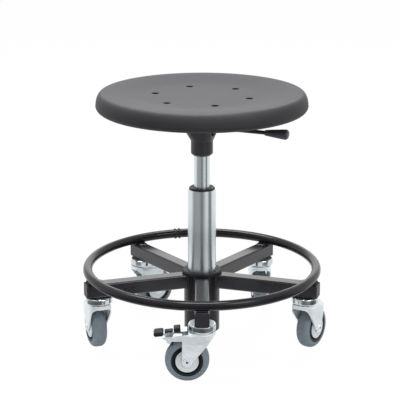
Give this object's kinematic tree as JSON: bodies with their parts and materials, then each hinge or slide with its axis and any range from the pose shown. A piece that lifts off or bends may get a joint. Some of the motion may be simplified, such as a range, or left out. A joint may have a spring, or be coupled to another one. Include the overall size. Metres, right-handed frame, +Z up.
{
  "type": "rolling stool",
  "caption": "Height-adjustable rolling stool: round dished black seat on a gas-lift column, star base of square tubes with a foot ring and swivel casters.",
  "frame": {"origin": "on the floor, under the column's axis", "axes": "+Z up the column, -Y along the front arm that carries the braked caster"},
  "size_m": [0.4342, 0.4303, 0.4546],
  "materials": {
    "seat_foam": "matte",
    "powder_black": "satin",
    "lever_black": "satin",
    "chrome": "polished",
    "zinc": "satin",
    "steel": "satin",
    "black_plastic": "satin",
    "wheel_plastic": "satin",
    "tyre_grey": "matte",
    "buffer_rubber": "matte",
    "plywood": "satin"
  },
  "bodies": {
    "base": {"hub_tube": "powder_black", "hub_floor": "powder_black", "hub_collar": "black_plastic", "base_arms": "powder_black", "arm_end_caps": "black_plastic", "foot_ring": "powder_black", "ring_saddles": "powder_black", "caster_bolts": "powder_black", "swivel_heads": "zinc", "king_pins": "zinc", "swivel_balls": "steel", "column_tube": "chrome", "column_foot": "steel", "guide_bush": "black_plastic", "thrust_bearing": "steel"},
    "gas_rod": {"piston_rod": "steel", "rod_clip": "steel", "rod_buffer": "buffer_rubber", "piston": "black_plastic"},
    "seat": {"gas_cylinder": "chrome", "cylinder_gland": "black_plastic", "cylinder_sleeve": "black_plastic", "seat_housing": "powder_black", "lever_pin": "lever_black", "seat_plate": "powder_black", "seat_screws": "steel", "tee_nuts": "steel", "seat_board": "plywood", "seat_pad": "seat_foam"},
    "release_button": {"release_button": "steel"},
    "lever": {"lever_rod": "lever_black", "lever_knob": "black_plastic"},
    "caster_front": {"fork_front": "zinc", "axle_front": "zinc", "brake_pin": "zinc"},
    "wheel_front": {"wheel_bearing_front": "zinc", "wheel_core_front": "wheel_plastic", "tyre_front": "tyre_grey"},
    "caster_right": {"fork_right": "zinc", "axle_right": "zinc"},
    "wheel_right": {"wheel_bearing_right": "zinc", "wheel_core_right": "wheel_plastic", "tyre_right": "tyre_grey"},
    "caster_back_right": {"fork_back_right": "zinc", "axle_back_right": "zinc"},
    "wheel_back_right": {"wheel_bearing_back_right": "zinc", "wheel_core_back_right": "wheel_plastic", "tyre_back_right": "tyre_grey"},
    "caster_back_left": {"fork_back_left": "zinc", "axle_back_left": "zinc"},
    "wheel_back_left": {"wheel_bearing_back_left": "zinc", "wheel_core_back_left": "wheel_plastic", "tyre_back_left": "tyre_grey"},
    "caster_left": {"fork_left": "zinc", "axle_left": "zinc"},
    "wheel_left": {"wheel_bearing_left": "zinc", "wheel_core_left": "wheel_plastic", "tyre_left": "tyre_grey"},
    "brake": {"brake_pedal": "zinc", "brake_pads": "black_plastic"}
  },
  "joints": [
    {"name": "seat_swivel", "type": "hinge", "parent": "base", "child": "gas_rod", "pos_m": [0, 0, 0.03], "axis": [0, 0, 1], "continuous": true},
    {"name": "seat_lift", "type": "slide", "parent": "gas_rod", "child": "seat", "axis": [0, 0, 1], "range_m": [-0.05, 0.08]},
    {"name": "lever_pull", "type": "hinge", "parent": "seat", "child": "lever", "pos_m": [0.01739, -0.00466, 0.39212], "axis": [-0.2588, -0.9659, 0], "range_deg": [0, 8], "stiffness_Nm_per_rad": 4},
    {"name": "button_press", "type": "slide", "parent": "seat", "child": "release_button", "axis": [0, 0, -1], "range_m": [0, 0.003]},
    {"name": "swivel_front", "type": "hinge", "parent": "base", "child": "caster_front", "pos_m": [0, -0.19, 0.09], "axis": [0, 0, 1], "continuous": true},
    {"name": "roll_front", "type": "hinge", "parent": "caster_front", "child": "wheel_front", "pos_m": [-0.025, -0.19, 0.0375], "axis": [0, -1, 0], "continuous": true},
    {"name": "swivel_right", "type": "hinge", "parent": "base", "child": "caster_right", "pos_m": [0.1807, -0.05871, 0.09], "axis": [0, 0, 1], "continuous": true},
    {"name": "roll_right", "type": "hinge", "parent": "caster_right", "child": "wheel_right", "pos_m": [0.19468, -0.03799, 0.0375], "axis": [-0.829, 0.5592, 0], "continuous": true},
    {"name": "swivel_back_right", "type": "hinge", "parent": "base", "child": "caster_back_right", "pos_m": [0.11168, 0.15371, 0.09], "axis": [0, 0, 1], "continuous": true},
    {"name": "roll_back_right", "type": "hinge", "parent": "caster_back_right", "child": "wheel_back_right", "pos_m": [0.1095, 0.17862, 0.0375], "axis": [-0.9962, -0.0872, 0], "continuous": true},
    {"name": "swivel_back_left", "type": "hinge", "parent": "base", "child": "caster_back_left", "pos_m": [-0.11168, 0.15371, 0.09], "axis": [0, 0, 1], "continuous": true},
    {"name": "roll_back_left", "type": "hinge", "parent": "caster_back_left", "child": "wheel_back_left", "pos_m": [-0.0912, 0.16805, 0.0375], "axis": [-0.5736, 0.8192, 0], "continuous": true},
    {"name": "swivel_left", "type": "hinge", "parent": "base", "child": "caster_left", "pos_m": [-0.1807, -0.05871, 0.09], "axis": [0, 0, 1], "continuous": true},
    {"name": "roll_left", "type": "hinge", "parent": "caster_left", "child": "wheel_left", "pos_m": [-0.18905, -0.03515, 0.0375], "axis": [-0.9426, -0.3338, 0], "continuous": true},
    {"name": "brake_press", "type": "hinge", "parent": "caster_front", "child": "brake", "pos_m": [-0.055, -0.19, 0.0755], "axis": [0, -1, 0], "range_deg": [0, 12]}
  ],
  "couplings": [
    {"joint": "button_press", "follows": "lever_pull", "m_per_rad": 0.0185}
  ]
}
